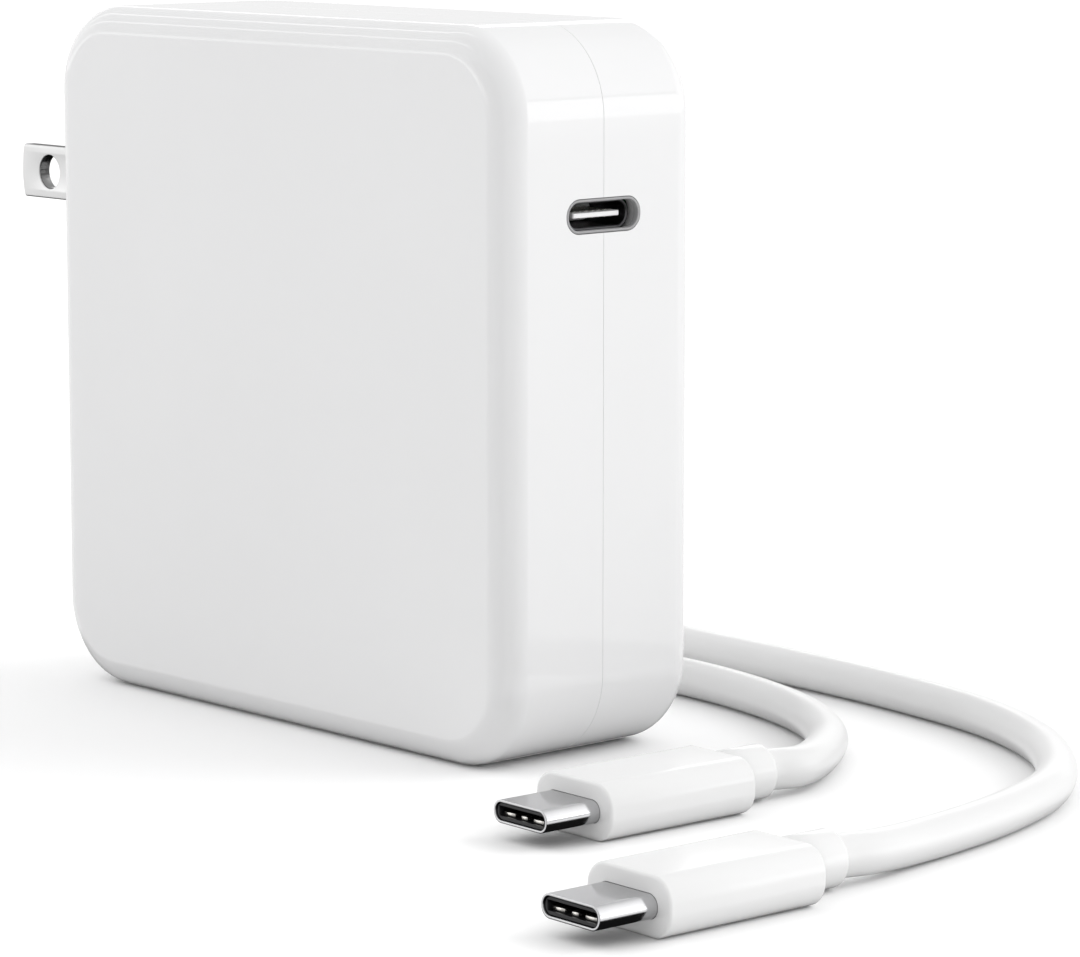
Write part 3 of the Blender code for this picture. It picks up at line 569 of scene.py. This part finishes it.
e = 0.10 * MM
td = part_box("usb_c_port_trim")[0].x - X
tube_x([(td, *offs(tw, th, 0)), (-e, *offs(tw, th, 0)), (-e * 0.3, *offs(tw, th, e * 0.3)), (0, *offs(tw, th, e)),
        (0, *offs(iw, ih, -e)), (-e * 0.3, *offs(iw, ih, -e * 0.3)), (-e, *offs(iw, ih, 0)), (td, *offs(iw, ih, 0))],
       "outlet_trim_ring", TRIM_GREY, "root", ("usb_c_port_trim",), at_port)
slo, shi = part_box("receptacle_shell")
x0, x1 = slo.x - X, shi.x - X
ow, oh = 8.94 * MM, 3.16 * MM
nw, nh = 8.34 * MM, 2.56 * MM
e = 0.1 * MM
tube_x([(x0, *offs(ow, oh, 0)), (x1 - e, *offs(ow, oh, 0)), (x1, *offs(ow, oh, e)), (x1, *offs(nw, nh, -e)),
        (x1 - e, *offs(nw, nh, 0)), (x0, *offs(nw, nh, 0))],
       "receptacle_can", PORT_STEEL, "root", ("receptacle_shell",), at_port)
tlo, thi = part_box("receptacle_tongue")
bw, bh = nw - 0.4 * MM, nh - 0.4 * MM
xt0, xt1 = tlo.x - X, thi.x - X
e = 0.08 * MM
tube_x([(xt0, *offs(bw, bh, 0)), (xt0 + 1.6 * MM, *offs(bw, bh, 0)), (xt0 + 1.6 * MM, 6.69 * MM, 0.58 * MM, e),
        (xt1 - 0.12 * MM, 6.69 * MM, 0.58 * MM, e), (xt1, 6.5 * MM, 0.46 * MM, e)],
       "receptacle_tongue_moulding", TONGUE, "root", ("receptacle_tongue",), at_port, wrap=False)


def comb_piece(name, nodename, bars, z0, z1, strap, mat, body, where=None, tip=0.25 * MM):
    """Contact strips with rounded tips that share a strap, as one closed sheet."""
    out = []
    (xa, xb), ya, yb = strap
    out.append((xa, ya))
    out.append((xa, yb))
    for y_lo, y_hi, x_end in sorted(bars, key=lambda q: -q[1]):
        out.append((xb, y_hi))
        out.append((x_end - tip, y_hi))
        out.append((x_end, y_hi - tip * 0.6))
        out.append((x_end, y_lo + tip * 0.6))
        out.append((x_end - tip, y_lo))
        out.append((xb, y_lo))
    clean = []
    for p in out:
        if not clean or (Vector(p) - Vector(clean[-1])).length > 1e-8:
            clean.append(p)
    if (Vector(clean[0]) - Vector((xb, ya))).length > 1e-8 and (Vector(clean[-1]) - Vector((xb, ya))).length > 1e-8:
        clean.append((xb, ya))
    bm = bmesh.new()
    vs = [bm.verts.new((x, y, z0)) for x, y in clean]
    f = bm.faces.new(vs)
    up = bmesh.ops.extrude_face_region(bm, geom=[f])
    bmesh.ops.translate(bm, verts=[v for v in up["geom"] if isinstance(v, bmesh.types.BMVert)], vec=(0, 0, z1 - z0))
    bmesh.ops.recalc_face_normals(bm, faces=bm.faces)
    bmesh.ops.bevel(bm, geom=[ed for ed in bm.edges], offset=(z1 - z0) * 0.22, segments=1, affect='EDGES', profile=0.5)
    return finish_piece(bm, name, mat, body, (nodename,), where, 40.0)


for nm in ("upper", "lower"):
    clo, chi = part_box("receptacle_contacts_" + nm)
    bars = [(y * 0.9 * MM - 0.21 * MM, y * 0.9 * MM + 0.21 * MM, chi.x) for y in (-3, -2, -1, 0, 1, 2, 3)]
    comb_piece("receptacle_contact_row_" + nm, "receptacle_contacts_" + nm, bars, PORT_Z + (clo.z - PORT_Z), chi.z,
               ((clo.x, clo.x + 0.5 * MM), clo.y, chi.y), CONTACT, "root")

# ------------------------------------------------------------------ charge cable plugs
OVER_W, OVER_H, OVER_L, OVER_R = 11.77 * MM, 5.98 * MM, 19.8 * MM, 2.55 * MM
NOSE_W, NOSE_H, NOSE_L = 8.25 * MM, 2.4 * MM, 7.0 * MM
COLLAR_R, COLLAR_L = 2.9 * MM, 6.0 * MM
CABLE_R = 2.22 * MM
PLUGS = {"near": (94.35 * MM, -47.3 * MM, 268.2), "far": (62.65 * MM, -25.1 * MM, 268.2)}


def plug_pieces(tag):
    px, py, yaw = PLUGS[tag]
    at = Matrix.Translation((px, py, 3.0 * MM)) @ Matrix.Rotation(math.radians(yaw), 4, 'Z')
    body = "charge_cable"
    # moulding, from the bottom of the nose's pocket, out over the front face and back
    f = 0.34 * MM
    g = 0.02 * MM
    secs = [(-3.0 * MM, NOSE_W + g, NOSE_H + g, (NOSE_H + g) * 0.49), (-0.05 * MM, NOSE_W + g, NOSE_H + g, (NOSE_H + g) * 0.49),
            (0, NOSE_W + g + 0.06 * MM, NOSE_H + g + 0.06 * MM, (NOSE_H + g) * 0.5)]
    secs.append((0, OVER_W - 2 * f - 0.6 * MM, OVER_H - 2 * f - 0.6 * MM, OVER_R - f - 0.3 * MM))
    for i in range(0, 7):
        a = math.radians(90 * i / 6)
        d = f - f * math.sin(a)
        secs.append((-f + f * math.cos(a), OVER_W - 2 * d, OVER_H - 2 * d, OVER_R - d))
    secs.append((-OVER_L * 0.5, OVER_W, OVER_H, OVER_R))
    for i in range(0, 7):
        a = math.radians(90 * i / 6)
        d = f - f * math.cos(a)
        secs.append((-OVER_L + f - f * math.sin(a), OVER_W - 2 * d, OVER_H - 2 * d, OVER_R - d))
    tube_x(secs, "plug_%s_moulding" % tag, MOULD_WHITE, body, ("plug_%s_overmould" % tag,), at,
           angle=50.0, wrap=False, n=20)
    # metal nose: a drawn tube with a flat front rim, its edges broken
    t = 0.27 * MM
    r = 0.05 * MM
    secs = [(-2.9 * MM, *offs(NOSE_W, NOSE_H, 0))]
    secs += [(NOSE_L - r * 2, *offs(NOSE_W, NOSE_H, 0))]
    for side in (0, 1):
        for i in range(0, 5):
            a = math.radians(90 * side + 90 * i / 4)
            d = (t - 2 * r) * side + r - r * math.cos(a)
            secs.append((NOSE_L - r + r * math.sin(a), *offs(NOSE_W, NOSE_H, d)))
    secs += [(NOSE_L - 1.0 * MM, *offs(NOSE_W, NOSE_H, t)), (-2.9 * MM, *offs(NOSE_W, NOSE_H, t))]
    tube_x(secs, "plug_%s_nose" % tag, NOSE_STEEL, body, ("plug_%s_shell" % tag,), at, 50.0, True, 20)
    # black insert with the mouth
    w, h = NOSE_W - 0.64 * MM, NOSE_H - 0.64 * MM
    fr = NOSE_L - 0.20 * MM
    mw, mh = 6.9 * MM, 1.04 * MM
    secs = [(-2.5 * MM, *offs(w, h, 0)), (fr - 0.06 * MM, *offs(w, h, 0)), (fr, *offs(w, h, 0.06 * MM)),
            (fr, mw + 0.1 * MM, mh + 0.1 * MM, 0.2 * MM), (fr - 0.05 * MM, mw, mh, 0.15 * MM), (1.0 * MM, mw, mh, 0.15 * MM)]
    tube_x(secs, "plug_%s_insert_moulding" % tag, BLACK, body, ("plug_%s_insert" % tag,), at, 40.0, False, 12)
    # three sprung fingers from one strap, each with a raised tip
    side = [(1.5, -0.47), (6.34, -0.47), (6.4, -0.42), (6.4, -0.12), (6.35, -0.07), (6.27, -0.06), (5.95, -0.06),
            (5.75, -0.09), (5.35, -0.33), (5.25, -0.35), (1.5, -0.35)]
    parts_ = []
    for yc, wd in ((-2.3, 1.7), (0.0, 0.9), (2.3, 1.7)):
        parts_.append(tool(extrude_y(side, (yc - wd / 2) * MM, (yc + wd / 2) * MM), "finger"))
    strap = finish_piece(box_bm((1.52 * MM, -3.3 * MM, -0.465 * MM), (2.1 * MM, 3.3 * MM, -0.355 * MM)),
                         "plug_%s_fingers" % tag, CONTACT, body, ("plug_%s_contacts" % tag,), at, 40.0)
    for t_ in parts_:
        t_.matrix_world = at
    carve(strap, parts_, 'EXACT', 'UNION')
    soften(strap, 0.02 * MM, 1, 35.0)
    # collar
    L = COLLAR_L
    f = 0.5 * MM
    z0 = -0.05 * MM
    prof = [(0, z0), (COLLAR_R - 0.1 * MM, z0), (COLLAR_R, z0 - 0.1 * MM), (COLLAR_R, z0 - L * 0.5)]
    prof += [(COLLAR_R - f + f * math.cos(math.radians(a)), z0 - L + f - f * math.sin(math.radians(a))) for a in range(0, 91, 15)]
    prof += [(CABLE_R + 0.16 * MM, z0 - L), (CABLE_R + 0.06 * MM, z0 - L + 0.1 * MM), (CABLE_R + 0.06 * MM, z0 - 1.3 * MM), (0, z0 - 1.3 * MM)]
    bm = revolve(prof, 64)
    finish_piece(bm, "plug_%s_collar_moulding" % tag, MOULD_WHITE, body, ("plug_%s_collar" % tag,),
                 at @ Matrix.Translation((-OVER_L, 0, 0)) @ Matrix.Rotation(math.pi / 2, 4, 'Y'), 50.0)


plug_pieces("near")
plug_pieces("far")


# ------------------------------------------------------------------ cable
def behind(tag, dist, z):
    px, py, yaw = PLUGS[tag]
    a = math.radians(yaw)
    return Vector((px - dist * math.cos(a), py - dist * math.sin(a), z))


def smooth_path(knots, per_span):
    ks = [Vector(k) for k in knots]
    ks = [2 * ks[0] - ks[1]] + ks + [2 * ks[-1] - ks[-2]]
    out = []
    for i in range(1, len(ks) - 2):
        a, b, c_, d = ks[i - 1:i + 3]
        for j in range(per_span):
            t = j / per_span
            out.append(0.5 * ((2 * b) + (c_ - a) * t + (2 * a - 5 * b + 4 * c_ - d) * t * t
                              + (3 * b - a - 3 * c_ + d) * t ** 3))
    out.append(ks[-2])
    return out


START = OVER_L + 1.7 * MM
FL = CABLE_R / MM + 0.03
RUN = [(94.3, -9.0, 2.32), (93.0, 0.0, FL), (91.0, 9.0, FL), (87.3, 18.8, FL), (80.8, 27.6, FL), (71.5, 35.3, FL),
       (58.5, 41.2, FL), (42.0, 44.4, FL), (24.0, 45.9, FL), (5.0, 46.6, FL), (-10.0, 48.6, FL), (-22.0, 48.6, FL),
       (-29.6, 42.6, FL), (-29.8, 34.4, FL), (-22.0, 28.2, FL), (-10.0, 28.8, FL), (5.0, 31.8, FL), (20.0, 32.4, FL),
       (33.0, 30.6, FL), (44.5, 26.8, FL), (53.6, 20.9, FL), (59.8, 13.4, FL + 0.15)]
knots = [behind("near", START, OVER_H / 2), behind("near", START + 5 * MM, OVER_H / 2), behind("near", START + 10 * MM, 2.7 * MM)]
knots += [Vector(k) * MM for k in RUN]
knots += [behind("far", START + 10 * MM, 2.7 * MM), behind("far", START + 5 * MM, OVER_H / 2), behind("far", START, OVER_H / 2)]


def swept_tube(points, radius, sides):
    """A round tube along a path, with level frames so that it doesn't twist."""
    rings = []
    for i, p in enumerate(points):
        a = points[max(i - 1, 0)]
        b = points[min(i + 1, len(points) - 1)]
        d = (b - a).normalized()
        s = d.cross(Vector((0, 0, 1))).normalized()
        u = s.cross(d)
        rings.append([p + radius * (math.cos(2 * math.pi * k / sides) * s + math.sin(2 * math.pi * k / sides) * u)
                      for k in range(sides)])
    return loft(rings)


finish_piece(swept_tube(smooth_path(knots, 9), CABLE_R - 0.02 * MM, 40), "cable_run", CABLE_WHITE, "charge_cable",
             ("cable_jacket",), None, 60.0)

# ------------------------------------------------------------------ floor, world, lights, camera
m, nt, b = new_material("studio_floor")
nz = object_noise(nt, 3.0, 3.0)
col = ramp(nt, nz.outputs["Fac"], ((0.3, (0.925, 0.925, 0.925)), (0.7, (0.935, 0.935, 0.935))))
nt.links.new(col.outputs["Color"], b.inputs["Base Color"])
b.inputs["Roughness"].default_value = 0.9
b.inputs["Specular IOR Level"].default_value = 0.1
floor_bm = bmesh.new()
bmesh.ops.create_grid(floor_bm, x_segments=8, y_segments=8, size=6.0)
fme = bpy.data.meshes.new("studio_floor")
floor_bm.to_mesh(fme)
floor_bm.free()
floor = bpy.data.objects.new("studio_floor", fme)
floor.location = (0, 0, -0.00002)
fme.materials.append(m)
scene.collection.objects.link(floor)
floor.visible_glossy = False      # polished surfaces mirror the studio's dark lower half and not the floor

world = bpy.data.worlds.new("studio")
scene.world = world
world.use_nodes = True
wt = world.node_tree
for n_ in list(wt.nodes):
    wt.nodes.remove(n_)
out = wt.nodes.new("ShaderNodeOutputWorld")
geo = wt.nodes.new("ShaderNodeTexCoord")


def grey_ramp(fac, stops, span):
    """A grey level for a direction's dot product, which runs over span."""
    mr = wt.nodes.new("ShaderNodeMapRange")
    mr.inputs["From Min"].default_value, mr.inputs["From Max"].default_value = span
    wt.links.new(fac, mr.inputs["Value"])
    r = wt.nodes.new("ShaderNodeValToRGB")
    els = r.color_ramp.elements
    while len(els) < len(stops):
        els.new(0.5)
    for el_, (p, v) in zip(els, stops):
        el_.position = (p - span[0]) / (span[1] - span[0])
        el_.color = (v, v, v, 1)
    wt.links.new(mr.outputs["Result"], r.inputs["Fac"])
    return r


def facing(direction):
    d = wt.nodes.new("ShaderNodeVectorMath")
    d.operation = 'DOT_PRODUCT'
    wt.links.new(geo.outputs["Generated"], d.inputs[0])
    d.inputs[1].default_value = Vector(direction).normalized()
    return d.outputs["Value"]


def about_axis(up_axis, across):
    """The angle about a level axis, in degrees: 0 is level on the 'across' side, 90 straight up."""
    m_ = wt.nodes.new("ShaderNodeMath")
    m_.operation = 'ARCTAN2'
    wt.links.new(facing(up_axis), m_.inputs[0])
    wt.links.new(facing(across), m_.inputs[1])
    deg = wt.nodes.new("ShaderNodeMath")
    deg.operation = 'MULTIPLY'
    wt.links.new(m_.outputs[0], deg.inputs[0])
    deg.inputs[1].default_value = 180 / math.pi
    return deg.outputs[0]


def blend_grey(kind, a_, b_):
    mx = wt.nodes.new("ShaderNodeMix")
    mx.data_type = 'RGBA'
    mx.blend_type = kind
    mx.inputs["Factor"].default_value = 1.0
    wt.links.new(a_, mx.inputs[6])
    wt.links.new(b_, mx.inputs[7])
    return mx.outputs[2]


def bands(fac, rows, span):
    """Soft-edged bands: rows of (low, high, soft edge, level, soft upper edge if different), nothing between them."""
    stops = [(span[0], 0.0)]
    for lo_, hi_, edge_, v, *top_ in rows:
        stops += [(lo_ - edge_, 0.0), (lo_, v), (hi_, v), (hi_ + (top_ or [edge_])[0], 0.0)]
    return grey_ramp(fac, stops + [(span[1], 0.0)], span).outputs["Color"]


# dark well below the level, an even white room above it, with a grey card in front, a brighter wall to the front left and a greyer one behind
room = grey_ramp(facing((0, 0, 1)), ((-1.0, 0.01), (-0.33, 0.012), (-0.275, 1.0), (1.0, 1.0)), (-1.0, 1.0)).outputs["Color"]
card = grey_ramp(facing((0, -1, 0)), ((-1.0, 1.0), (0.78, 1.0), (0.84, 0.45), (1.0, 0.45)), (-1.0, 1.0)).outputs["Color"]
wall = grey_ramp(facing((-0.80, -0.60, 0)), ((-1.0, 0.84), (0.45, 0.84), (0.75, 1.0), (1.0, 1.0)), (-1.0, 1.0)).outputs["Color"]
turn = grey_ramp(facing((-0.74, 0.67, 0.12)), ((-1.0, 1.0), (0.5, 1.0), (0.85, 0.93), (1.0, 0.93)), (-1.0, 1.0)).outputs["Color"]
# long lamps parallel to the case's edges: to the left along X, to the right along Y
left_side = grey_ramp(facing((-1, 0, 0)), ((-1.0, 0.0), (0.30, 0.0), (0.45, 1.0), (1.0, 1.0)), (-1.0, 1.0)).outputs["Color"]
right_side = grey_ramp(facing((0, 1, 0)), ((-1.0, 0.0), (0.575, 0.0), (0.61, 1.0), (0.90, 1.0), (1.0, 0.4)), (-1.0, 1.0)).outputs["Color"]
tubes_left = blend_grey('MULTIPLY', left_side,
                        bands(about_axis((0, 0, 1), (0, -1, 0)), ((1.5, 8.0, 2.0, 0.55), (50.0, 53.0, 1.5, 0.9), (88.0, 91.0, 1.5, 0.9),
                                                                  (149.0, 152.0, 1.0, 1.0)), (-180.0, 180.0)))
tubes_right = blend_grey('MULTIPLY', right_side,
                         bands(about_axis((0, 0, 1), (1, 0, 0)), ((-4.2, 19.5, 0.5, 1.0), (23.0, 30.0, 1.0, 0.50, 85.0), (150.0, 156.0, 2.0, 0.8)),
                               (-180.0, 180.0)))
low_right = blend_grey('MULTIPLY', right_side,
                       grey_ramp(about_axis((0, 0, 1), (1, 0, 0)), ((-180.0, 0.0), (-26.0, 0.0), (-14.0, 0.24), (-4.9, 0.24), (-4.4, 0.0),
                                                                    (180.0, 0.0)), (-180.0, 180.0)).outputs["Color"])
tubes_right = blend_grey('ADD', tubes_right, low_right)
bg = wt.nodes.new("ShaderNodeBackground")
wt.links.new(blend_grey('MULTIPLY', blend_grey('MULTIPLY', room, turn), blend_grey('MULTIPLY', card, wall)), bg.inputs["Color"])
bg.inputs["Strength"].default_value = 1.13
lamps = wt.nodes.new("ShaderNodeBackground")
wt.links.new(blend_grey('ADD', tubes_left, tubes_right), lamps.inputs["Color"])
lamps.inputs["Strength"].default_value = 2.2
total = wt.nodes.new("ShaderNodeAddShader")
wt.links.new(bg.outputs[0], total.inputs[0])
wt.links.new(lamps.outputs[0], total.inputs[1])
wt.links.new(total.outputs[0], out.inputs["Surface"])


def aim(ob, loc, target):
    ob.location = loc
    d = (Vector(target) - Vector(loc)).normalized()
    ob.rotation_euler = d.to_track_quat('-Z', 'Y').to_euler()
    scene.collection.objects.link(ob)
    ob.visible_camera = False
    return ob


def soft_sun(name, energy, spread, towards_light):
    """A broad soft lamp far away; it lights matt surfaces and isn't mirrored by glossy ones."""
    li = bpy.data.lights.new(name, 'SUN')
    li.energy = energy
    li.angle = math.radians(spread)
    ob = aim(bpy.data.objects.new(name, li), towards_light, (0, 0, 0))
    ob.visible_glossy = False
    return ob


soft_sun("key_sun", 0.67, 38, (0.67, 0.78, 0.84))
soft_sun("fill_sun", 0.34, 50, (-0.52, -0.60, 1.0))

az, el = math.radians(47.938), math.radians(8.653)
back = Vector((math.sin(az) * math.cos(el), -math.cos(az) * math.cos(el), math.sin(el)))
cam_data = bpy.data.cameras.new("camera")
cam_data.lens = 145.776
cam_data.sensor_width = 36.0
cam_data.sensor_fit = 'HORIZONTAL'
cam_data.clip_start = 0.01
cam_data.clip_end = 50.0
cam = bpy.data.objects.new("camera", cam_data)
scene.collection.objects.link(cam)
cam.location = (0.3804, -0.31632, 0.10204)
cam.rotation_euler = (-back).to_track_quat('-Z', 'Y').to_euler()
scene.camera = cam
scene.view_settings.view_transform = 'Standard'
scene.view_settings.look = 'None'
scene.view_settings.exposure = 0.0
scene.view_settings.gamma = 1.0
